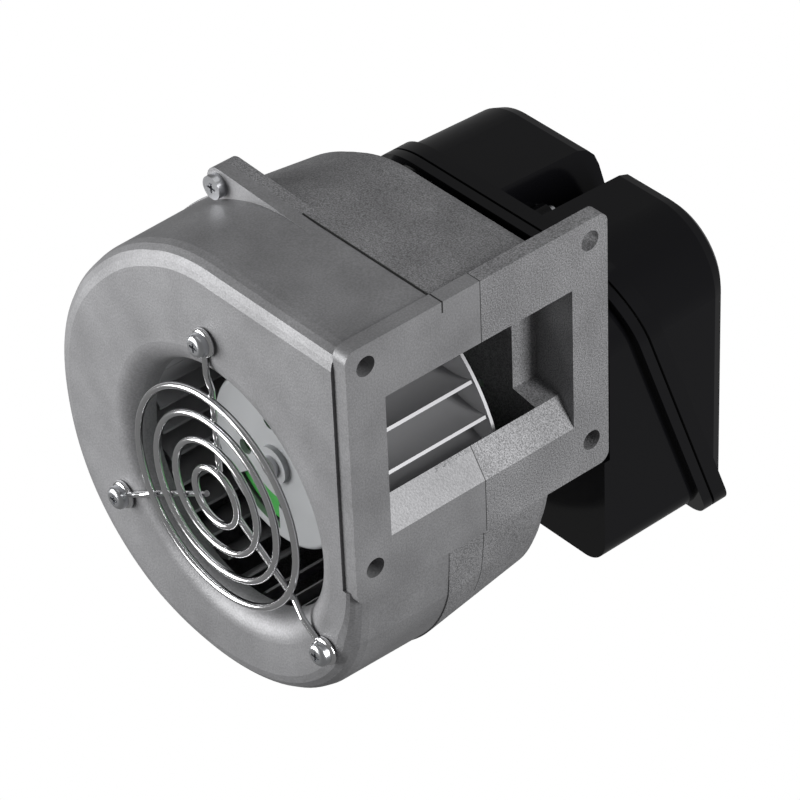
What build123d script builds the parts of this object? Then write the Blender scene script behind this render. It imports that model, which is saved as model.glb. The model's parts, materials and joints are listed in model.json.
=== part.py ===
from build123d import *
import math
import os

# Combustion fan. All sizes in millimetres.
# Z is up, Y is the fan axis (inlet at -Y, motor cover at +Y), the outlet faces +X.
# The drawing is made with Y = 0 on the inlet face and X = Z = 0 on the fan axis,
# and every piece is saved with the origin at the centre of the outlet bolt pattern.

os.makedirs("parts", exist_ok=True)

# ---- housing castings
WALL = 3.5
SPLIT_Y = 41.5
REAR_Y = 90.0
TOP_Z = 94.0
# Rounded and drafted outside of each casting: place along the axis and inset of the outline.
FRONT_RIM = ((0, 8.4), (0.6, 5.6), (2.0, 3.4), (4.2, 1.9), (7.0, 1.2), (SPLIT_Y, 0.5))
REAR_RIM = ((SPLIT_Y, 0), (86.0, 4.9), (88.8, 6.4), (REAR_Y, 8.0))
INLET_R = 47.0
INLET_LIP = 9.0
INLET_DEPTH = 10.5
INLET_RING_R = 60.0

# ---- outlet flange
FLANGE_X0 = 62.0
FLANGE_X1 = 68.0
FLANGE_Y0 = 1.0
FLANGE_Y1 = 113.0
FLANGE_Z0 = -8.0
FLANGE_Z1 = 94.5
FLANGE_SPLIT_Y = 57.5
FLANGE_CORNER = 4.0
BOLT_Y = 57.2
BOLT_Z = 45.2
BOLT_DY = 96.0
BOLT_DZ = 82.0
BOLT_R = 3.75
OPEN_Y0 = 16.6
OPEN_Y1 = 97.2
OPEN_Z0 = 13.5
OPEN_Z1 = 70.2

# ---- motor neck behind the rear casting
NECK_R = 50.0
NECK_BORE_R = 44.0
NECK_Y1 = 111.0
REAR_BORE_R = 36.0

# ---- wire guard
WIRE_RING_R = 1.3
WIRE_ARM_R = 1.1
GUARD_Y = -2.0
GUARD_RINGS = (10.9, 21.2, 31.2, 41.0)
GUARD_SCREW_R = 63.0
GUARD_ANGLES = (91.5, 210.0, 326.0)
EYE_R = 4.2

# ---- impeller and motor
BLADES = 30
BLADE_T = 1.2
BLADE_R0 = 48.5
BLADE_R1 = 61.0
BLADE_Y0 = 13.2
BLADE_Y1 = 70.0
WHEEL_R = 61.5
PLATE_T = 1.2
CUP_R = 33.0
CUP_T = 2.0
CUP_Y0 = 24.0
CUP_Y1 = 68.0
SHAFT_R = 4.0
BEARING_R = 11.0
BEARING_W = 7.0
TUBE_R = 14.0
STATOR_R = 27.0
STATOR_Y0 = 36.0
STATOR_Y1 = 60.0
BRACKET_R = 43.5

# ---- plastic motor cover
COVER_X0 = -57.0
COVER_X1 = 70.0
COVER_Z0 = -57.0
COVER_Z1 = 62.5
COVER_CORNER = 28.0
COVER_FOOT_CORNER = 10.0
COVER_WALL = 2.5
CAP_BACK_Y = 169.0
SEAM_Y = 141.0
SEAM_SLOPE = 0.36
LIP_OUT = 1.5
BASE_IN = -2.0
BASE_LIP_T = 4.0
CAP_LIP_T = 6.0


TO_OUTLET = Location((-FLANGE_X1, -BOLT_Y, -BOLT_Z))


def at_y(y):
    """Sketch plane across the fan axis: local x is X, local y is Z."""
    return Plane.XZ.offset(-y)


def polar(radius, angle):
    a = math.radians(angle)
    return (radius * math.cos(a), radius * math.sin(a))


# Scroll outline seen along the axis: angle in degrees, outer radius at the joint plane.
SCROLL = (
    (110, 92.2),
    (135, 89.8),
    (160, 90.2),
    (185, 90.0),
    (210, 89.6),
    (235, 86.3),
    (255, 82.0),
    (275, 78.8),
    (300, 76.4),
    (322, 74.3),
    (337, 71.8),
)
STEP_Z = -4.0
FOOT_X0 = 50.0
FOOT_Z1 = 10.0
CAVITY_X = 54.0
TONGUE_TIP = (61.0, 24.0)


def scroll_radius(angle):
    """Smooth radius of the scroll between the stated angles."""
    table = [(84.0, 94.3)] + list(SCROLL) + [(358.0, 67.5)]
    for i in range(1, len(table) - 2):
        if angle <= table[i + 1][0]:
            break
    (a0, r0), (a1, r1), (a2, r2), (a3, r3) = table[i - 1 : i + 3]
    t = (angle - a1) / (a2 - a1)
    m1 = (r2 - r0) / (a2 - a0) * (a2 - a1)
    m2 = (r3 - r1) / (a3 - a1) * (a2 - a1)
    return (
        (2 * t**3 - 3 * t**2 + 1) * r1
        + (t**3 - 2 * t**2 + t) * m1
        + (-2 * t**3 + 3 * t**2) * r2
        + (t**3 - t**2) * m2
    )


ARC_START = 110.0
ARC_END = 337.0
ARCS = 14
SIDE_DRAFT = 0.45


def scroll_arcs(inset):
    """Chain of short arcs round the scroll, from the top round to the lower right."""
    step = (ARC_END - ARC_START) / ARCS
    for i in range(ARCS):
        a = ARC_START + i * step
        points = [polar(scroll_radius(b) - inset, b) for b in (a, a + step / 2, a + step)]
        ThreePointArc(*points)


def scroll_outline(inset):
    """Outer outline of the scroll body, moved in by inset."""
    start = (3.0, TOP_Z - inset)
    first = polar(scroll_radius(ARC_START) - inset, ARC_START)
    last = polar(scroll_radius(ARC_END) - inset, ARC_END)
    end = (67.3 - SIDE_DRAFT * inset, STEP_Z)
    with BuildLine() as outline:
        Line((FLANGE_X0, TOP_Z - inset), start)
        ThreePointArc(start, (-15.0, 92.4 - inset), first)
        scroll_arcs(inset)
        ThreePointArc(last, (67.0 - 1.4 * SIDE_DRAFT * inset, -16.0), end)
        Polyline(end, (FOOT_X0, STEP_Z), (FOOT_X0, FOOT_Z1), (FLANGE_X0, FOOT_Z1), (FLANGE_X0, TOP_Z - inset))
    return outline.edges()


def cavity_outline(inset=WALL):
    """Air space of the scroll, from the tongue round to the outlet."""
    start = (3.0, TOP_Z - inset)
    first = polar(scroll_radius(ARC_START) - inset, ARC_START)
    last = polar(scroll_radius(ARC_END) - inset, ARC_END)
    with BuildLine() as outline:
        Line((CAVITY_X, TOP_Z - inset), start)
        ThreePointArc(start, (-15.0, 92.4 - inset), first)
        scroll_arcs(inset)
        ThreePointArc(last, (64.2 - SIDE_DRAFT * (inset - WALL), -3.0), TONGUE_TIP)
        Polyline(TONGUE_TIP, (CAVITY_X, 34.0), (CAVITY_X, TOP_Z - inset))
    return outline.edges()


def duct_outline():
    """Straight outlet passage with the sloping tongue at its foot."""
    with BuildLine() as outline:
        Polyline(
            (50.0, OPEN_Z1),
            (FLANGE_X1 + 1, OPEN_Z1),
            (FLANGE_X1 + 1, OPEN_Z0 - 1.5),
            TONGUE_TIP,
            (50.0, 26.0),
            close=True,
        )
    return outline.edges()


# Housing screws: one through the ear, two long ones into inside bosses.
EAR_X = -37.0
EAR_Z = 89.3
EAR_R = 6.0
EAR_Y0 = 36.5
EAR_Y1 = 46.0
BOSS_R = 5.5
BOSS_Y0 = 12.0
BOSSES = (polar(80.5, 222), polar(72.0, 268))
BRACKET_SCREWS = [polar(40.0, a) for a in (30, 150, 270)]
NECK_SCREWS = [polar(47.0, a) for a in (45, 135, 285)]
M3_R = 1.5
M4_R = 2.0
M5_R = 2.4
M5_HOLE_R = 2.5
PAN_R = 4.3
PAN_H = 3.3


def foot_block(y0, y1):
    """Solid corner between the scroll wall and the foot of the flange."""
    with BuildSketch(at_y(y0)) as profile:
        Polygon((48, -5), (FLANGE_X0, -5), (FLANGE_X0, 12), (48, 12), align=None)
    extrude(profile.sketch, amount=-(y1 - y0))


def ear_block(y, depth):
    """Lug on the rim of the joint, rounded about its screw."""
    with BuildSketch(at_y(y)) as profile:
        Polygon((EAR_X, EAR_Z + EAR_R), (8, TOP_Z - 0.5), (8, 80), (EAR_X, 80), align=None)
        with Locations((EAR_X, EAR_Z)):
            Circle(EAR_R)
    extrude(profile.sketch, amount=-depth)


def flange_half(y0, y1):
    """Part of the outlet flange plate between two places along the axis."""
    with BuildSketch(Plane.YZ.offset(FLANGE_X0)) as profile:
        with Locations(((FLANGE_Y0 + FLANGE_Y1) / 2, (FLANGE_Z0 + FLANGE_Z1) / 2)):
            RectangleRounded(FLANGE_Y1 - FLANGE_Y0, FLANGE_Z1 - FLANGE_Z0, FLANGE_CORNER)
        with Locations(((y0 + y1) / 2, (FLANGE_Z0 + FLANGE_Z1) / 2)):
            Rectangle(y1 - y0, 2 * FLANGE_Z1, mode=Mode.INTERSECT)
    extrude(profile.sketch, amount=FLANGE_X1 - FLANGE_X0)


def bolt_holes(y):
    with BuildSketch(Plane.YZ.offset(FLANGE_X0 - 5)) as profile:
        with Locations((y, BOLT_Z - BOLT_DZ / 2), (y, BOLT_Z + BOLT_DZ / 2)):
            Circle(BOLT_R)
    extrude(profile.sketch, amount=FLANGE_X1 - FLANGE_X0 + 6, mode=Mode.SUBTRACT)


# ---------------------------------------------------------------- front casting
with BuildPart() as front_housing:
    for y, inset in FRONT_RIM:
        with BuildSketch(at_y(y)):
            make_face(scroll_outline(inset))
    loft(ruled=True)
    foot_block(0, SPLIT_Y)
    ear_block(EAR_Y0, SPLIT_Y - EAR_Y0)
    with BuildSketch(at_y(WALL)):
        make_face(cavity_outline())
    extrude(amount=-SPLIT_Y, mode=Mode.SUBTRACT)
    with BuildSketch(at_y(WALL)):
        Circle(INLET_RING_R)
        with Locations(*[polar(GUARD_SCREW_R, a) for a in GUARD_ANGLES]):
            Circle(4.5)
    extrude(amount=-(INLET_DEPTH - WALL))
    with BuildSketch(at_y(BOSS_Y0)):
        with Locations(*BOSSES):
            Circle(BOSS_R)
    extrude(amount=-(SPLIT_Y - BOSS_Y0))
    flange_half(FLANGE_Y0, FLANGE_SPLIT_Y)
    with BuildSketch(at_y(OPEN_Y0)):
        make_face(duct_outline())
    extrude(amount=-FLANGE_SPLIT_Y, mode=Mode.SUBTRACT)
    with BuildSketch(Plane.XY):
        with BuildLine():
            lip = RadiusArc((INLET_R + INLET_LIP, 0), (INLET_R, INLET_LIP), INLET_LIP)
            Polyline(lip @ 1, (INLET_R, INLET_DEPTH + 1), (0, INLET_DEPTH + 1), (0, -1), (INLET_R + INLET_LIP, -1), lip @ 0)
        make_face()
    revolve(axis=Axis.Y, mode=Mode.SUBTRACT)
    bolt_holes(BOLT_Y - BOLT_DY / 2)
    with BuildSketch(at_y(0)):
        with Locations(*[polar(GUARD_SCREW_R, a) for a in GUARD_ANGLES]):
            Circle(M5_HOLE_R)
    extrude(amount=-INLET_DEPTH - 1, mode=Mode.SUBTRACT)
    with BuildSketch(at_y(EAR_Y0)):
        with Locations((EAR_X, EAR_Z)):
            Circle(M5_HOLE_R)
    extrude(amount=-SPLIT_Y, mode=Mode.SUBTRACT)
    with BuildSketch(at_y(24)):
        with Locations(*BOSSES):
            Circle(M5_HOLE_R)
    extrude(amount=-SPLIT_Y, mode=Mode.SUBTRACT)
front_housing.part.label = "front_housing"
export_step(front_housing.part.moved(TO_OUTLET), "parts/front_housing.step")

# ---------------------------------------------------------------- rear casting
BULGE_X0 = 46.5
with BuildPart() as rear_housing:
    for y, inset in REAR_RIM:
        with BuildSketch(at_y(y)):
            make_face(scroll_outline(inset))
    loft(ruled=True)
    foot_block(SPLIT_Y, REAR_Y)
    ear_block(SPLIT_Y, EAR_Y1 - SPLIT_Y)
    with BuildSketch(Plane.YZ.offset(BULGE_X0)):
        with Locations(((80 + OPEN_Y1 + WALL) / 2, (OPEN_Z0 + OPEN_Z1) / 2)):
            Rectangle(OPEN_Y1 + WALL - 80, OPEN_Z1 - OPEN_Z0 + 2 * WALL)
    extrude(amount=FLANGE_X0 - BULGE_X0)
    for y, inset in ((SPLIT_Y, WALL), (REAR_Y - WALL, WALL + 5.0)):
        with BuildSketch(at_y(y)):
            make_face(cavity_outline(inset))
    loft(ruled=True, mode=Mode.SUBTRACT)
    with BuildSketch(at_y(SPLIT_Y)):
        with Locations(*BOSSES):
            Circle(BOSS_R)
    extrude(amount=-(REAR_Y - SPLIT_Y))
    with BuildSketch(at_y(REAR_Y - 1)):
        Circle(NECK_R)
    extrude(amount=-(NECK_Y1 - REAR_Y + 1))
    with BuildSketch(at_y(REAR_Y)):
        Circle(NECK_BORE_R)
    extrude(amount=-(NECK_Y1 - REAR_Y + 1), mode=Mode.SUBTRACT)
    with BuildSketch(at_y(REAR_Y - WALL - 1)):
        Circle(REAR_BORE_R)
    extrude(amount=-(NECK_Y1 - REAR_Y), mode=Mode.SUBTRACT)
    with BuildSketch(Plane.YZ.offset(FLANGE_X0)):
        with Locations((FLANGE_SPLIT_Y - 25, (FLANGE_Z0 + FLANGE_Z1) / 2)):
            Rectangle(50, FLANGE_Z1 - FLANGE_Z0)
    extrude(amount=20, mode=Mode.SUBTRACT)
    flange_half(FLANGE_SPLIT_Y, FLANGE_Y1)
    with BuildSketch(at_y(SPLIT_Y)):
        make_face(duct_outline())
    extrude(amount=-(OPEN_Y1 - SPLIT_Y), mode=Mode.SUBTRACT)
    bolt_holes(BOLT_Y + BOLT_DY / 2)
    with BuildSketch(at_y(SPLIT_Y)):
        with Locations((EAR_X, EAR_Z)):
            Circle(M5_HOLE_R)
    extrude(amount=-10, mode=Mode.SUBTRACT)
    with BuildSketch(at_y(SPLIT_Y)):
        with Locations(*BOSSES):
            Circle(M5_HOLE_R)
    extrude(amount=-60, mode=Mode.SUBTRACT)
    with BuildSketch(at_y(REAR_Y - WALL - 1)):
        with Locations(*BRACKET_SCREWS):
            Circle(M3_R)
    extrude(amount=-WALL - 2, mode=Mode.SUBTRACT)
    with BuildSketch(at_y(NECK_Y1 - 12)):
        with Locations(*NECK_SCREWS):
            Circle(M4_R)
    extrude(amount=-13, mode=Mode.SUBTRACT)
rear_housing.part.label = "rear_housing"
export_step(rear_housing.part.moved(TO_OUTLET), "parts/rear_housing.step")




def pan_screw(x, z, y, length, facing=1, shank_r=M5_R, head_r=PAN_R, head_h=PAN_H):
    """Pan head cross-recess screw seated at y; facing 1 looks towards the inlet, -1 to the motor."""
    with BuildSketch(at_y(y)) as head:
        with Locations((x, z)):
            Circle(head_r)
    extrude(head.sketch, amount=facing * head_h)
    with BuildSketch(at_y(y)) as shank:
        with Locations((x, z)):
            Circle(shank_r)
    extrude(shank.sketch, amount=-facing * length)
    with BuildSketch(at_y(y - facing * head_h)) as recess:
        with Locations((x, z)):
            Rectangle(head_r * 0.9, head_r * 0.22)
            Rectangle(head_r * 0.22, head_r * 0.9)
    extrude(recess.sketch, amount=-facing * 1.4, mode=Mode.SUBTRACT)


def round_heads(part, y, facing=1):
    """Domed rim on every pan head of one group."""
    top = y - facing * PAN_H
    rims = part.edges().filter_by(GeomType.CIRCLE).filter_by(
        lambda e: abs(e.center().Y - top) < 0.01 and abs(e.radius - PAN_R) < 0.01
    )
    fillet(rims, 1.8)


def tube(y0, y1, outer, inner):
    """Plain ring about the fan axis."""
    with BuildSketch(at_y(y0)) as ring:
        Circle(outer)
        Circle(inner, mode=Mode.SUBTRACT)
    extrude(ring.sketch, amount=-(y1 - y0))


# ---------------------------------------------------------------- housing screws
with BuildPart() as housing_screws:
    pan_screw(EAR_X, EAR_Z, EAR_Y0, 8.5)
    for x, z in BOSSES:
        pan_screw(x, z, REAR_Y, 60, facing=-1)
housing_screws.part.label = "housing_screws"
export_step(housing_screws.part.moved(TO_OUTLET), "parts/housing_screws.step")

# ---------------------------------------------------------------- inlet guard
with BuildPart(at_y(GUARD_Y)) as guard_rings:
    for radius in GUARD_RINGS:
        Torus(radius, WIRE_RING_R)
guard_rings.part.label = "guard_rings"
export_step(guard_rings.part.moved(TO_OUTLET), "parts/guard_rings.step")

ARM_Y = GUARD_Y + WIRE_RING_R + WIRE_ARM_R
EYE_Y = -WIRE_ARM_R
ARM_BEND_R = 43.0
ARM_STEP_R = 50.0


def arm_path(angle):
    """Centre line of one guard arm: flat behind the rings, then stepped forward to the eyelet."""
    inner = polar(GUARD_RINGS[0] - WIRE_RING_R, angle)
    bend = polar(ARM_BEND_R, angle)
    step = polar(ARM_STEP_R, angle)
    eye = polar(GUARD_SCREW_R - EYE_R, angle)
    return [
        (inner[0], ARM_Y, inner[1]),
        (bend[0], ARM_Y, bend[1]),
        (step[0], EYE_Y, step[1]),
        (eye[0], EYE_Y, eye[1]),
    ]


with BuildPart() as guard_arms:
    for angle in GUARD_ANGLES:
        path = arm_path(angle)
        with BuildLine() as wire:
            Polyline(*path)
        direction = Vector(*path[1]) - Vector(*path[0])
        with BuildSketch(Plane(origin=path[0], z_dir=direction)) as section:
            Circle(WIRE_ARM_R)
        sweep(section.sketch, path=wire.wires()[0], transition=Transition.RIGHT)
        x, z = polar(GUARD_SCREW_R, angle)
        with Locations(Location((x, EYE_Y, z), (90, 0, 0))):
            Torus(EYE_R, WIRE_ARM_R)
guard_arms.part.label = "guard_arms"
export_step(guard_arms.part.moved(TO_OUTLET), "parts/guard_arms.step")

GUARD_SEAT_Y = -2 * WIRE_ARM_R
with BuildPart() as guard_screws:
    for angle in GUARD_ANGLES:
        pan_screw(*polar(GUARD_SCREW_R, angle), GUARD_SEAT_Y, 10.2)
    round_heads(guard_screws, GUARD_SEAT_Y)
guard_screws.part.label = "guard_screws"
export_step(guard_screws.part.moved(TO_OUTLET), "parts/guard_screws.step")

# ---------------------------------------------------------------- impeller
RIVET_R = 1.5
RIVETS = [polar(36.5, a) for a in range(0, 360, 60)]
FRONT_RING_R0 = 56.0
PLATE_R = 62.0
PLATE_Y1 = BLADE_Y1 + PLATE_T

with BuildPart() as impeller_backplate:
    tube(BLADE_Y1, PLATE_Y1, PLATE_R, CUP_R)
    with BuildSketch(at_y(BLADE_Y1)):
        with Locations(*RIVETS):
            Circle(RIVET_R)
    extrude(amount=-PLATE_T, mode=Mode.SUBTRACT)
impeller_backplate.part.label = "impeller_backplate"
export_step(impeller_backplate.part.moved(TO_OUTLET), "parts/impeller_backplate.step")

BLADE_SWEEP = 9.0
BLADE_BULGE = 1.8
with BuildPart() as impeller_blades:
    for i in range(BLADES):
        tip = 360 / BLADES * i + 1.3
        root = tip + BLADE_SWEEP
        half = math.degrees(BLADE_T / 2 / BLADE_R1)
        middle = (tip + root) / 2 - BLADE_BULGE
        middle_r = (BLADE_R0 + BLADE_R1) / 2
        with BuildLine() as strip:
            low = ThreePointArc(polar(BLADE_R0, root - half), polar(middle_r, middle - half), polar(BLADE_R1, tip - half))
            high = ThreePointArc(polar(BLADE_R0, root + half), polar(middle_r, middle + half), polar(BLADE_R1, tip + half))
            Line(low @ 0, high @ 0)
            Line(low @ 1, high @ 1)
        with BuildSketch(at_y(BLADE_Y0)) as profile:
            make_face(strip.edges())
        extrude(profile.sketch, amount=-(BLADE_Y1 - BLADE_Y0))
impeller_blades.part.label = "impeller_blades"
export_step(impeller_blades.part.moved(TO_OUTLET), "parts/impeller_blades.step")

with BuildPart() as impeller_front_ring:
    tube(BLADE_Y0 - PLATE_T, BLADE_Y0, WHEEL_R, FRONT_RING_R0)
impeller_front_ring.part.label = "impeller_front_ring"
export_step(impeller_front_ring.part.moved(TO_OUTLET), "parts/impeller_front_ring.step")

with BuildPart() as impeller_rivets:
    for x, z in RIVETS:
        with BuildSketch(at_y(BLADE_Y1 - PLATE_T)) as shank:
            with Locations((x, z)):
                Circle(RIVET_R)
        extrude(shank.sketch, amount=-(2 * PLATE_T))
        with BuildSketch(at_y(PLATE_Y1)) as head:
            with Locations((x, z)):
                Circle(2.6)
        extrude(head.sketch, amount=-1)
impeller_rivets.part.label = "impeller_rivets"
export_step(impeller_rivets.part.moved(TO_OUTLET), "parts/impeller_rivets.step")

# ---------------------------------------------------------------- rotor of the motor
CUP_HOLES = [polar(16.5, a) for a in (8, 98, 188, 278)]
HUB_R = 7.0
HUB_Y0 = 22.0
HUB_Y1 = 33.0
SHAFT_Y0 = 20.5
SHAFT_Y1 = 92.0
CUP_FLANGE_R = 40.0

with BuildPart() as rotor_cup:
    tube(CUP_Y0, CUP_Y0 + CUP_T, CUP_R, SHAFT_R)
    tube(CUP_Y0 + CUP_T, BLADE_Y1, CUP_R, CUP_R - CUP_T)
    tube(BLADE_Y1 - PLATE_T, BLADE_Y1, CUP_FLANGE_R, CUP_R - 0.5)
    tube(HUB_Y0, HUB_Y1, HUB_R, SHAFT_R)
    nose = rotor_cup.edges().filter_by(GeomType.CIRCLE).filter_by(
        lambda e: abs(e.radius - CUP_R) < 0.01 and abs(e.center().Y - CUP_Y0) < 0.01
    )
    fillet(nose, 1.9)
    with BuildSketch(at_y(CUP_Y0)):
        with Locations(*CUP_HOLES):
            Circle(3)
        for centre in (64, 244):
            with BuildLine() as window:
                ThreePointArc(polar(15, centre - 26), polar(15, centre), polar(15, centre + 26))
                Line(polar(15, centre + 26), polar(28.5, centre + 26))
                ThreePointArc(polar(28.5, centre + 26), polar(28.5, centre), polar(28.5, centre - 26))
                Line(polar(28.5, centre - 26), polar(15, centre - 26))
            make_face(window.edges())
    extrude(amount=-CUP_T, mode=Mode.SUBTRACT)
    with BuildSketch(at_y(BLADE_Y1 - PLATE_T)):
        with Locations(*RIVETS):
            Circle(RIVET_R)
    extrude(amount=-PLATE_T, mode=Mode.SUBTRACT)
rotor_cup.part.label = "rotor_cup"
export_step(rotor_cup.part.moved(TO_OUTLET), "parts/rotor_cup.step")

with BuildPart() as rotor_cage:
    tube(34, 62, CUP_R - CUP_T, 28.5)
rotor_cage.part.label = "rotor_cage"
export_step(rotor_cage.part.moved(TO_OUTLET), "parts/rotor_cage.step")

with BuildPart() as motor_shaft:
    tube(SHAFT_Y0, SHAFT_Y1, SHAFT_R, 1.2)
    with BuildSketch(at_y(SHAFT_Y0 + 3)):
        Circle(2)
    extrude(amount=-(SHAFT_Y1 - SHAFT_Y0 - 3))
motor_shaft.part.label = "motor_shaft"
export_step(motor_shaft.part.moved(TO_OUTLET), "parts/motor_shaft.step")

with BuildPart() as shaft_circlip:
    tube(87.2, 88.2, 6, SHAFT_R)
shaft_circlip.part.label = "shaft_circlip"
export_step(shaft_circlip.part.moved(TO_OUTLET), "parts/shaft_circlip.step")

# ---------------------------------------------------------------- stator side of the motor
BEARING_BORE_R = 4.05
TUBE_Y0 = 34.0
BRACKET_Y1 = 94.0

with BuildPart() as bearing_front:
    tube(38, 38 + BEARING_W, BEARING_R, BEARING_BORE_R)
bearing_front.part.label = "bearing_front"
export_step(bearing_front.part.moved(TO_OUTLET), "parts/bearing_front.step")

with BuildPart() as bearing_rear:
    tube(78, 78 + BEARING_W, BEARING_R, BEARING_BORE_R)
bearing_rear.part.label = "bearing_rear"
export_step(bearing_rear.part.moved(TO_OUTLET), "parts/bearing_rear.step")

with BuildPart() as wave_washer:
    tube(85, 86, BEARING_R - 0.5, 6.5)
wave_washer.part.label = "wave_washer"
export_step(wave_washer.part.moved(TO_OUTLET), "parts/wave_washer.step")

with BuildPart() as motor_bracket:
    tube(TUBE_Y0, BRACKET_Y1, TUBE_R, BEARING_R)
    tube(REAR_Y, BRACKET_Y1, BRACKET_R, BEARING_R)
    with BuildSketch(at_y(REAR_Y)):
        with Locations(*BRACKET_SCREWS):
            Circle(M3_R)
    extrude(amount=-(BRACKET_Y1 - REAR_Y), mode=Mode.SUBTRACT)
motor_bracket.part.label = "motor_bracket"
export_step(motor_bracket.part.moved(TO_OUTLET), "parts/motor_bracket.step")

with BuildPart() as bracket_screws:
    for x, z in BRACKET_SCREWS:
        pan_screw(x, z, BRACKET_Y1, 8, facing=-1, shank_r=M3_R, head_r=2.8, head_h=2.2)
bracket_screws.part.label = "bracket_screws"
export_step(bracket_screws.part.moved(TO_OUTLET), "parts/bracket_screws.step")

TEETH = 6
TOOTH_W = 5.0
COIL_W = 9.4
YOKE_R = 18.5
TIP_R = 24.5
COIL_END = 3.0

with BuildPart() as stator_core:
    with BuildSketch(at_y(STATOR_Y0)):
        Circle(YOKE_R)
        with PolarLocations(0, TEETH):
            with Locations((STATOR_R / 2, 0)):
                Rectangle(STATOR_R, TOOTH_W)
        with BuildSketch(mode=Mode.ADD):
            Circle(STATOR_R)
            Circle(TIP_R, mode=Mode.SUBTRACT)
            with PolarLocations(0, TEETH, start_angle=30):
                with Locations((STATOR_R, 0)):
                    Rectangle(20, 6, mode=Mode.SUBTRACT)
        Circle(TUBE_R, mode=Mode.SUBTRACT)
    extrude(amount=-(STATOR_Y1 - STATOR_Y0))
stator_core.part.label = "stator_core"
export_step(stator_core.part.moved(TO_OUTLET), "parts/stator_core.step")

with BuildPart() as stator_windings:
    with BuildSketch(at_y(STATOR_Y0 - COIL_END)):
        with PolarLocations(0, TEETH):
            with Locations(((YOKE_R + TIP_R) / 2, 0)):
                Rectangle(TIP_R - YOKE_R - 1, COIL_W)
    extrude(amount=-(STATOR_Y1 - STATOR_Y0 + 2 * COIL_END))
    with BuildSketch(at_y(STATOR_Y0)):
        with PolarLocations(0, TEETH):
            with Locations((STATOR_R / 2, 0)):
                Rectangle(STATOR_R, TOOTH_W)
    extrude(amount=-(STATOR_Y1 - STATOR_Y0), mode=Mode.SUBTRACT)
stator_windings.part.label = "stator_windings"
export_step(stator_windings.part.moved(TO_OUTLET), "parts/stator_windings.step")

with BuildPart() as insulator_front:
    tube(30, STATOR_Y0 - COIL_END, STATOR_R, TUBE_R + 0.2)
insulator_front.part.label = "insulator_front"
export_step(insulator_front.part.moved(TO_OUTLET), "parts/insulator_front.step")

with BuildPart() as insulator_rear:
    tube(STATOR_Y1 + COIL_END, STATOR_Y1 + COIL_END + 3, STATOR_R, TUBE_R)
insulator_rear.part.label = "insulator_rear"
export_step(insulator_rear.part.moved(TO_OUTLET), "parts/insulator_rear.step")

# ---------------------------------------------------------------- motor cover
GASKET_T = 1.0
CAP_SCREW = (10.5, 49.7)
CAP_BOSS_R = 5.0
CAP_BOSS_Y1 = 139.0
COVER_Y0 = NECK_Y1
FAR = 90.0
# Back of the cap: place along the axis and growth of the outline.
CAP_BACK = ((COVER_Y0, 0.5), (162.0, -1.2), (166.0, -2.6), (168.2, -5.0), (CAP_BACK_Y, -8.5))
CAP_ROOM = ((COVER_Y0, -2.0), (162.0, -3.8), (CAP_BACK_Y - 3.0, -8.5))


def seam_y(z, shift=0.0):
    return SEAM_Y - SEAM_SLOPE * z + shift


def cover_section(y, grow):
    """Outline of the cover with large upper and small lower corners, grown outwards."""
    with BuildSketch(at_y(y)) as section:
        with Locations(((COVER_X0 + COVER_X1) / 2, (COVER_Z0 + COVER_Z1) / 2)):
            Rectangle(COVER_X1 - COVER_X0 + 2 * grow, COVER_Z1 - COVER_Z0 + 2 * grow)
        fillet(section.vertices().filter_by(lambda v: v.Y > 0), COVER_CORNER + grow)
        fillet(section.vertices().filter_by(lambda v: v.Y < COVER_Z0 / 2), COVER_FOOT_CORNER)
    return section.sketch


def seam_wedge(y_far, shift):
    """Removes everything between the sloping joint and a far plane across the axis."""
    with BuildSketch(Plane.YZ) as wedge:
        Polygon(
            (seam_y(FAR, shift), FAR),
            (y_far, FAR),
            (y_far, -FAR),
            (seam_y(-FAR, shift), -FAR),
            align=None,
        )
    extrude(wedge.sketch, amount=FAR, both=True, mode=Mode.SUBTRACT)


GLAND_Y = 122.0
GLAND_Z = -20.0
CAPACITOR_X = -30.0
CAPACITOR_R = 12.0
CAPACITOR_Y = COVER_Y0 + COVER_WALL + CAPACITOR_R
NOTCH_X0 = 61.0
NOTCH_Y1 = FLANGE_Y1 + 0.5
NOTCH_Z0 = FLANGE_Z0 - 1.0


def flange_notch(grow):
    """Recess in the cover that clears the rear end of the outlet flange."""
    with BuildSketch(at_y(COVER_Y0 - 1)) as notch:
        with Locations(((NOTCH_X0 - grow + FAR) / 2, (NOTCH_Z0 - grow + FAR) / 2)):
            Rectangle(FAR - NOTCH_X0 + grow, FAR - NOTCH_Z0 + grow)
    extrude(notch.sketch, amount=-(NOTCH_Y1 - COVER_Y0 + 1 + grow), mode=Mode.SUBTRACT)


with BuildPart() as base_room:
    extrude(cover_section(COVER_Y0 + COVER_WALL, BASE_IN - COVER_WALL), amount=-80)
    flange_notch(COVER_WALL)

with BuildPart() as base_lip:
    extrude(cover_section(COVER_Y0, LIP_OUT), amount=-80)
    seam_wedge(80, -BASE_LIP_T)
    seam_wedge(240, 0)

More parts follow.
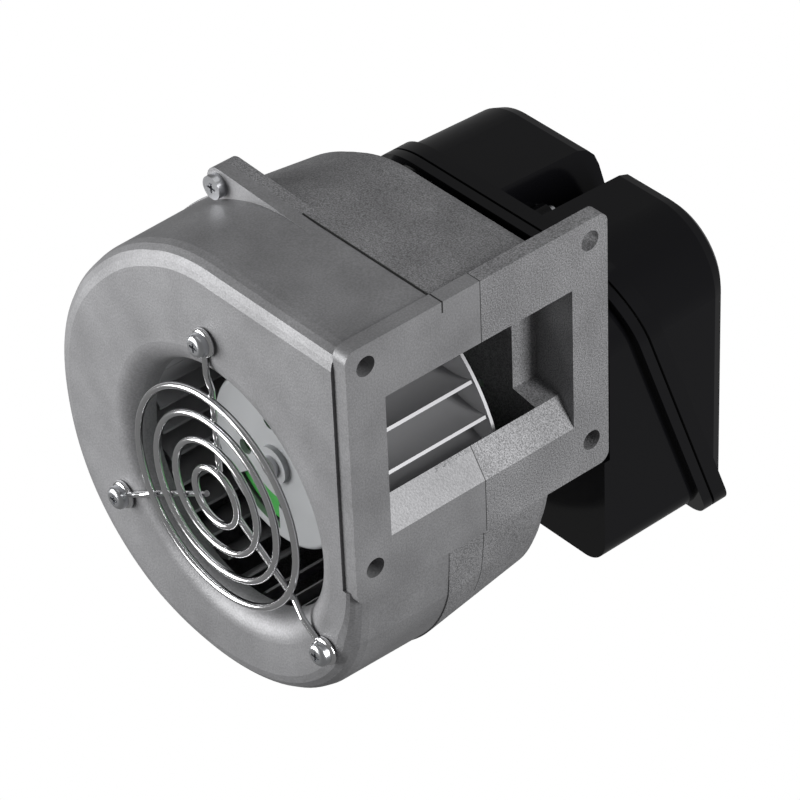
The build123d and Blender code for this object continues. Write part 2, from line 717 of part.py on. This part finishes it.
with BuildPart() as cover_base:
    extrude(cover_section(COVER_Y0, BASE_IN), amount=-80)
    add(base_lip.part)
    flange_notch(0)
    add(base_room.part, mode=Mode.SUBTRACT)
    with BuildSketch(at_y(COVER_Y0)):
        with Locations(CAP_SCREW):
            Circle(CAP_BOSS_R)
    extrude(amount=-50)
    with BuildSketch(at_y(COVER_Y0 + COVER_WALL)):
        with Locations((CAPACITOR_X, 0)):
            Rectangle(2 * CAPACITOR_R, 20)
    extrude(amount=-7)
    with BuildSketch(Plane.XY.offset(-22)):
        with Locations((CAPACITOR_X, CAPACITOR_Y)):
            Circle(CAPACITOR_R)
    extrude(amount=45, mode=Mode.SUBTRACT)
    seam_wedge(240, 0)
    with BuildSketch(at_y(COVER_Y0)):
        with Locations(*NECK_SCREWS):
            Circle(M4_R)
        Circle(8)
    extrude(amount=-COVER_WALL, mode=Mode.SUBTRACT)
    with BuildSketch(at_y(COVER_Y0 + 3)):
        with Locations(CAP_SCREW):
            Circle(M4_R)
    extrude(amount=-40, mode=Mode.SUBTRACT)
    with BuildSketch(Plane.YZ.offset(COVER_X0 - 1)):
        with Locations((GLAND_Y, GLAND_Z)):
            Circle(6)
    extrude(amount=7, mode=Mode.SUBTRACT)
cover_base.part.label = "cover_base"
export_step(cover_base.part.moved(TO_OUTLET), "parts/cover_base.step")

with BuildPart() as cover_gasket:
    extrude(cover_section(COVER_Y0, 0), amount=-80)
    extrude(cover_section(COVER_Y0, -COVER_WALL + BASE_IN), amount=-80, mode=Mode.SUBTRACT)
    seam_wedge(240, GASKET_T)
    seam_wedge(80, 0)
cover_gasket.part.label = "cover_gasket"
export_step(cover_gasket.part.moved(TO_OUTLET), "parts/cover_gasket.step")

CHANNEL_Y0 = 124.0


def channel(shift):
    """Groove between the two raised blocks of the cap, with a sloping left side."""
    with BuildSketch(at_y(CHANNEL_Y0)) as groove:
        Polygon(
            (1.0 - shift, FAR),
            (1.0 - shift, COVER_Z1),
            (8.0 - shift, 46.0 - shift),
            (22.0 + shift, 46.0 - shift),
            (22.0 + shift, FAR),
            align=None,
        )
    extrude(groove.sketch, amount=-60, mode=Mode.SUBTRACT)


with BuildPart() as cap_room:
    for y, grow in CAP_ROOM:
        add(cover_section(y, grow))
    loft(ruled=True)
    channel(COVER_WALL)

with BuildPart() as cap_lip:
    extrude(cover_section(COVER_Y0, LIP_OUT), amount=-80)
    extrude(cover_section(COVER_Y0, -COVER_WALL + BASE_IN), amount=-80, mode=Mode.SUBTRACT)
    seam_wedge(80, GASKET_T)
    seam_wedge(240, GASKET_T + CAP_LIP_T)

with BuildPart() as cover_cap:
    for y, grow in CAP_BACK:
        add(cover_section(y, grow))
    loft(ruled=True)
    channel(0)
    add(cap_room.part, mode=Mode.SUBTRACT)
    with BuildSketch(at_y(COVER_Y0)):
        with Locations(CAP_SCREW):
            Circle(CAP_BOSS_R)
    extrude(amount=-(CAP_BOSS_Y1 - COVER_Y0))
    seam_wedge(80, GASKET_T)
    add(cap_lip.part)
    with BuildSketch(at_y(COVER_Y0)):
        with Locations(CAP_SCREW):
            Circle(M4_R)
    extrude(amount=-50, mode=Mode.SUBTRACT)
cover_cap.part.label = "cover_cap"
export_step(cover_cap.part.moved(TO_OUTLET), "parts/cover_cap.step")

with BuildPart() as cover_base_screws:
    for x, z in NECK_SCREWS:
        pan_screw(x, z, COVER_Y0 + COVER_WALL, 12, facing=-1, shank_r=M4_R, head_r=3.8, head_h=2.8)
cover_base_screws.part.label = "cover_base_screws"
export_step(cover_base_screws.part.moved(TO_OUTLET), "parts/cover_base_screws.step")

with BuildPart() as cover_cap_screw:
    pan_screw(*CAP_SCREW, CAP_BOSS_Y1, 22, facing=-1, shank_r=M4_R, head_r=3.0, head_h=2.8)
cover_cap_screw.part.label = "cover_cap_screw"
export_step(cover_cap_screw.part.moved(TO_OUTLET), "parts/cover_cap_screw.step")

with BuildPart() as capacitor:
    with BuildSketch(Plane.XY.offset(-22)):
        with Locations((CAPACITOR_X, CAPACITOR_Y)):
            Circle(CAPACITOR_R)
    extrude(amount=45)
capacitor.part.label = "capacitor"
export_step(capacitor.part.moved(TO_OUTLET), "parts/capacitor.step")

with BuildPart() as terminal_block:
    with BuildSketch(at_y(COVER_Y0 + COVER_WALL)):
        with Locations((32, -14)):
            Rectangle(34, 16)
    extrude(amount=-14)
    with BuildSketch(at_y(COVER_Y0 + COVER_WALL + 8)):
        with Locations((21, -14), (32, -14), (43, -14)):
            Rectangle(7, 10)
    extrude(amount=-10, mode=Mode.SUBTRACT)
terminal_block.part.label = "terminal_block"
export_step(terminal_block.part.moved(TO_OUTLET), "parts/terminal_block.step")

with BuildPart() as cable_gland:
    with BuildSketch(Plane.YZ.offset(COVER_X0 + 6)):
        with Locations((GLAND_Y, GLAND_Z)):
            Circle(6)
    extrude(amount=-4)
    with BuildSketch(Plane.YZ.offset(COVER_X0 - BASE_IN)):
        with Locations((GLAND_Y, GLAND_Z)):
            RegularPolygon(9, 6)
    extrude(amount=-9)
    with BuildSketch(Plane.YZ.offset(COVER_X0 - 10)):
        with Locations((GLAND_Y, GLAND_Z)):
            Circle(3.5)
    extrude(amount=20, mode=Mode.SUBTRACT)
cable_gland.part.label = "cable_gland"
export_step(cable_gland.part.moved(TO_OUTLET), "parts/cable_gland.step")
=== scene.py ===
import json
import math

import bpy
from mathutils import Matrix, Vector


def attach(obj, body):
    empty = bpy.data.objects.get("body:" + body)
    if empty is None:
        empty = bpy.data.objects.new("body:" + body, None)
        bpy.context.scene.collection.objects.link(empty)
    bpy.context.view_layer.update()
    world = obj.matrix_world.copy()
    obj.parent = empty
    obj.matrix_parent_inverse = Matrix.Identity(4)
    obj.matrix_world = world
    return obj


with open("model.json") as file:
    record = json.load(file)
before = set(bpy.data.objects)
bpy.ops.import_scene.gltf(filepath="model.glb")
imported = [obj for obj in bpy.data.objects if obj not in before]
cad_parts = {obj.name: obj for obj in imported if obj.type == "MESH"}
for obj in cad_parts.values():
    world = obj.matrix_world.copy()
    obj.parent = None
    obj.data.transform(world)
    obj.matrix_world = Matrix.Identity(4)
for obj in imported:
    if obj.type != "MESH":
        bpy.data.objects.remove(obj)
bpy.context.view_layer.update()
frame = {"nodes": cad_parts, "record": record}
nodes = frame["nodes"]

# All places and sizes are in metres. The origin is the centre of the outlet bolt pattern.
AXIS = Vector((-0.068, -0.0572, -0.0452))  # where the fan axis meets the inlet face

# ---- painted shadow: dark lines where the joint gaps between the two castings fall
FLANGE_JOINT_Y = 0.0003
FLANGE_LINE_FROM_X = -0.0075
BODY_JOINT_Y = -0.0157
TOP_LINE_FROM_Z = 0.045
JOINT_HALF_WIDTH = 0.00016
JOINT_SHADOW_GREY = 0.02

# ---- grain of the castings
MOTTLE_SCALE = 45.0
MOTTLE_DETAIL = 6.0
MOTTLE_BAND = (0.3, 0.7)
GRAIN_DETAIL = 3.0
GRAIN_BAND = (0.35, 0.65)
GRAIN_HEIGHT = 0.0004
COOL_TINT = 1.015

COVER_SPECULAR = 0.32

# ---- green ring behind the rotor, as depths behind the inlet face and radii about the fan axis
INSULATOR_Y0 = 0.0268
INSULATOR_Y1 = 0.0300
INSULATOR_R0 = 0.0148
INSULATOR_R1 = 0.0278
RING_STEPS = 96

# ---- studio
TARGET = AXIS + Vector((0.0, 0.07, 0.0))
LIGHTS = (
    # name, place, width and height, watts
    ("top_box", (-0.1, 0.2, 0.9), (0.9, 0.7), 1.3),
    ("left_box", (-0.75, -0.85, 0.04), (0.8, 0.8), 18.5),
    ("right_box", (1.0, 0.3, 0.35), (0.3, 0.9), 13.5),
)
WHITE = (1.0, 1.0, 1.0, 1.0)
SEEN_WORLD = 1.0
LIGHTING_WORLD = 0.18

# ---- camera
CAMERA_PLACE = AXIS + Vector((0.8890, -0.6612, 0.8960))
AZIMUTH = math.radians(50.21)
ELEVATION = math.radians(37.85)
ROLL = math.radians(-2.51)
LENS_MM = 192.7
SENSOR_MM = 36.0
CLIP_NEAR = 0.1
CLIP_FAR = 20.0


# ---------------------------------------------------------------- materials
def plain(name, color, metallic, roughness):
    """One colour and one gloss."""
    material = bpy.data.materials.new(name)
    material.use_nodes = True
    shader = material.node_tree.nodes["Principled BSDF"]
    shader.inputs["Base Color"].default_value = (*color, 1.0)
    shader.inputs["Metallic"].default_value = metallic
    shader.inputs["Roughness"].default_value = roughness
    return material


def grey(value):
    """Grey with a faint blue tint."""
    return (value, value, value * COOL_TINT, 1.0)


def noise(tree, scale, detail, where):
    node = tree.nodes.new("ShaderNodeTexNoise")
    node.inputs["Scale"].default_value = scale
    node.inputs["Detail"].default_value = detail
    tree.links.new(where.outputs["Object"], node.inputs["Vector"])
    return node


def ramp(tree, source, band, values):
    """Grey that goes from one value to the other as the noise crosses the band."""
    node = tree.nodes.new("ShaderNodeValToRGB")
    for element, place, value in zip(node.color_ramp.elements, band, values):
        element.position = place
        element.color = grey(value)
    tree.links.new(source.outputs["Fac"], node.inputs["Fac"])
    return node


def math_node(tree, operation, first, *values):
    """Math node on one socket and on numbers or further sockets."""
    node = tree.nodes.new("ShaderNodeMath")
    node.operation = operation
    tree.links.new(first, node.inputs[0])
    for socket, value in zip(list(node.inputs)[1:], values):
        if isinstance(value, float):
            socket.default_value = value
        else:
            tree.links.new(value, socket)
    return node.outputs[0]


def joint_shadow_mask(tree, where):
    """Mask of the painted shadow: 1 on the thin joint lines across the outlet flange and the
    flat top, 0 elsewhere.
    """
    place = tree.nodes.new("ShaderNodeSeparateXYZ")
    tree.links.new(where.outputs["Object"], place.inputs["Vector"])
    x, y, z = (place.outputs[axis] for axis in "XYZ")
    in_flange_joint = math_node(tree, "COMPARE", y, FLANGE_JOINT_Y, JOINT_HALF_WIDTH)
    on_flange = math_node(tree, "GREATER_THAN", x, FLANGE_LINE_FROM_X)
    flange_line = math_node(tree, "MULTIPLY", in_flange_joint, on_flange)
    in_body_joint = math_node(tree, "COMPARE", y, BODY_JOINT_Y, 2 * JOINT_HALF_WIDTH)
    past_axis = math_node(tree, "GREATER_THAN", x, AXIS.x)
    near_top = math_node(tree, "GREATER_THAN", z, TOP_LINE_FROM_Z)
    body_line = math_node(tree, "MULTIPLY", in_body_joint, past_axis)
    top_line = math_node(tree, "MULTIPLY", body_line, near_top)
    return math_node(tree, "MAXIMUM", flange_line, top_line)


def cast_metal(name, dark, light, grain_scale, grain, bump, metallic, roughness):
    """Cast aluminium: broad soft mottling with a fine grain over it, and painted shadow lines
    along the joints between the castings.
    """
    material = plain(name, (light, light, light), metallic, roughness)
    tree = material.node_tree
    shader = tree.nodes["Principled BSDF"]
    where = tree.nodes.new("ShaderNodeTexCoord")

    mottle_noise = noise(tree, MOTTLE_SCALE, MOTTLE_DETAIL, where)
    mottle = ramp(tree, mottle_noise, MOTTLE_BAND, (dark, light))
    grain_noise = noise(tree, grain_scale, GRAIN_DETAIL, where)
    speckle = ramp(tree, grain_noise, GRAIN_BAND, (1.0 - grain, 1.0 + grain))
    metal = tree.nodes.new("ShaderNodeMixRGB")
    metal.blend_type = "MULTIPLY"
    metal.inputs["Fac"].default_value = 1.0
    tree.links.new(mottle.outputs["Color"], metal.inputs["Color1"])
    tree.links.new(speckle.outputs["Color"], metal.inputs["Color2"])

    # Painted shadow: the joint lines are darkened in the colour, standing in for the shade in
    # the gaps between the castings.
    joint_shadowed = tree.nodes.new("ShaderNodeMixRGB")
    joint_shadowed.inputs["Color2"].default_value = (JOINT_SHADOW_GREY, JOINT_SHADOW_GREY, JOINT_SHADOW_GREY, 1.0)
    tree.links.new(joint_shadow_mask(tree, where), joint_shadowed.inputs["Fac"])
    tree.links.new(metal.outputs["Color"], joint_shadowed.inputs["Color1"])
    tree.links.new(joint_shadowed.outputs["Color"], shader.inputs["Base Color"])

    relief = tree.nodes.new("ShaderNodeBump")
    relief.inputs["Strength"].default_value = bump
    relief.inputs["Distance"].default_value = GRAIN_HEIGHT
    tree.links.new(grain_noise.outputs["Fac"], relief.inputs["Height"])
    tree.links.new(relief.outputs["Normal"], shader.inputs["Normal"])
    return material


def glossy_black(name):
    """Black plastic with a weaker reflection than most plastics."""
    material = plain(name, (0.003, 0.003, 0.0038), 0.0, 0.13)
    shader = material.node_tree.nodes["Principled BSDF"]
    shader.inputs["Specular IOR Level"].default_value = COVER_SPECULAR
    return material


looks = {
    "front_casting": cast_metal(
        "front_cast",
        dark=0.20,
        light=0.27,
        grain_scale=1400.0,
        grain=0.12,
        bump=0.25,
        metallic=0.35,
        roughness=0.50,
    ),
    "rear_casting": cast_metal(
        "rear_cast",
        dark=0.20,
        light=0.27,
        grain_scale=1900.0,
        grain=0.42,
        bump=0.60,
        metallic=0.35,
        roughness=0.52,
    ),
    # name, colour, metallic, roughness
    "zinc_screw": plain("zinc", (0.62, 0.63, 0.65), 1.0, 0.28),
    "guard_wire": plain("bright_wire", (0.80, 0.80, 0.81), 1.0, 0.16),
    "wheel_sheet": plain("wheel_sheet", (0.36, 0.36, 0.37), 0.45, 0.42),
    "rotor_steel": plain("rotor_grey", (0.42, 0.43, 0.44), 0.2, 0.55),
    "cage_steel": plain("cage_steel", (0.08, 0.08, 0.085), 0.6, 0.6),
    "shaft_steel": plain("shaft_steel", (0.5, 0.5, 0.52), 1.0, 0.3),
    "copper_wire": plain("copper_wire", (0.45, 0.16, 0.06), 0.8, 0.4),
    "green_plastic": plain("green_plastic", (0.05, 0.33, 0.06), 0.0, 0.45),
    "black_plastic": glossy_black("black_plastic"),
    "gasket_rubber": plain("gasket_rubber", (0.004, 0.004, 0.004), 0.0, 0.6),
    "capacitor_shell": plain("capacitor_shell", (0.6, 0.6, 0.58), 0.0, 0.4),
    "white_plastic": plain("white_plastic", (0.7, 0.69, 0.65), 0.0, 0.4),
    "grey_plastic": plain("grey_plastic", (0.06, 0.065, 0.07), 0.0, 0.4),
}
slot_of = {part["node"]: part["material_slot"] for part in frame["record"]["subparts"]}
for name, node in nodes.items():
    node.data.materials.clear()
    node.data.materials.append(looks[slot_of[name]])


# ---------------------------------------------------------------- green ring behind the rotor
def ring(name, y0, y1, inner, outer, material, body):
    """Flat ring about the fan axis between two depths behind the inlet face."""
    corners = ((y0, inner), (y0, outer), (y1, outer), (y1, inner))
    points = []
    for depth, radius in corners:
        for step in range(RING_STEPS):
            angle = 2 * math.pi * step / RING_STEPS
            spoke = Vector((radius * math.cos(angle), depth, radius * math.sin(angle)))
            points.append(AXIS + spoke)
    faces = []
    for corner in range(len(corners)):
        here = corner * RING_STEPS
        there = (corner + 1) % len(corners) * RING_STEPS
        for step in range(RING_STEPS):
            onward = (step + 1) % RING_STEPS
            faces.append((here + step, here + onward, there + onward, there + step))
    mesh = bpy.data.meshes.new(name)
    mesh.from_pydata(points, [], faces)
    mesh.materials.append(material)
    piece = bpy.data.objects.new(name, mesh)
    bpy.context.scene.collection.objects.link(piece)
    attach(piece, body)
    return piece


# It stands in front of the insulator_front node, so that green shows through the rotor's holes.
insulator_face = ring(
    "insulator_face",
    INSULATOR_Y0,
    INSULATOR_Y1,
    INSULATOR_R0,
    INSULATOR_R1,
    looks["green_plastic"],
    "fan_body",
)


# ---------------------------------------------------------------- studio
def area_light(name, place, size, watts):
    """Rectangular soft box that faces the fan."""
    light = bpy.data.lights.new(name, "AREA")
    light.shape = "RECTANGLE"
    light.size, light.size_y = size
    light.energy = watts
    lamp = bpy.data.objects.new(name, light)
    bpy.context.scene.collection.objects.link(lamp)
    lamp.location = Vector(place)
    lamp.rotation_euler = (TARGET - Vector(place)).to_track_quat("-Z", "Y").to_euler()


def white_world():
    """White where the camera sees it, and much dimmer where it lights the object."""
    world = bpy.data.worlds.new("studio")
    bpy.context.scene.world = world
    world.use_nodes = True
    tree = world.node_tree
    seen = tree.nodes["Background"]
    lighting = tree.nodes.new("ShaderNodeBackground")
    for background, strength in ((seen, SEEN_WORLD), (lighting, LIGHTING_WORLD)):
        background.inputs["Color"].default_value = WHITE
        background.inputs["Strength"].default_value = strength
    path = tree.nodes.new("ShaderNodeLightPath")
    choose = tree.nodes.new("ShaderNodeMixShader")
    tree.links.new(path.outputs["Is Camera Ray"], choose.inputs["Fac"])
    tree.links.new(lighting.outputs["Background"], choose.inputs[1])
    tree.links.new(seen.outputs["Background"], choose.inputs[2])
    tree.links.new(choose.outputs["Shader"], tree.nodes["World Output"].inputs["Surface"])


def add_camera():
    """Camera at CAMERA_PLACE, turned by the azimuth, elevation and roll."""
    back = Vector(
        (
            math.sin(AZIMUTH) * math.cos(ELEVATION),
            -math.cos(AZIMUTH) * math.cos(ELEVATION),
            math.sin(ELEVATION),
        )
    )
    level = (-back).cross(Vector((0, 0, 1))).normalized()
    upright = level.cross(-back)
    right = math.cos(ROLL) * level + math.sin(ROLL) * upright
    up = -math.sin(ROLL) * level + math.cos(ROLL) * upright
    camera_data = bpy.data.cameras.new("camera")
    camera_data.lens = LENS_MM
    camera_data.sensor_width = SENSOR_MM
    camera_data.clip_start = CLIP_NEAR
    camera_data.clip_end = CLIP_FAR
    camera = bpy.data.objects.new("camera", camera_data)
    bpy.context.scene.collection.objects.link(camera)
    turn = Matrix((right, up, back)).transposed().to_4x4()
    camera.matrix_world = Matrix.Translation(CAMERA_PLACE) @ turn
    bpy.context.scene.camera = camera


for light in LIGHTS:
    area_light(*light)
white_world()
bpy.context.scene.view_settings.view_transform = "Standard"
bpy.context.scene.view_settings.look = "None"
add_camera()
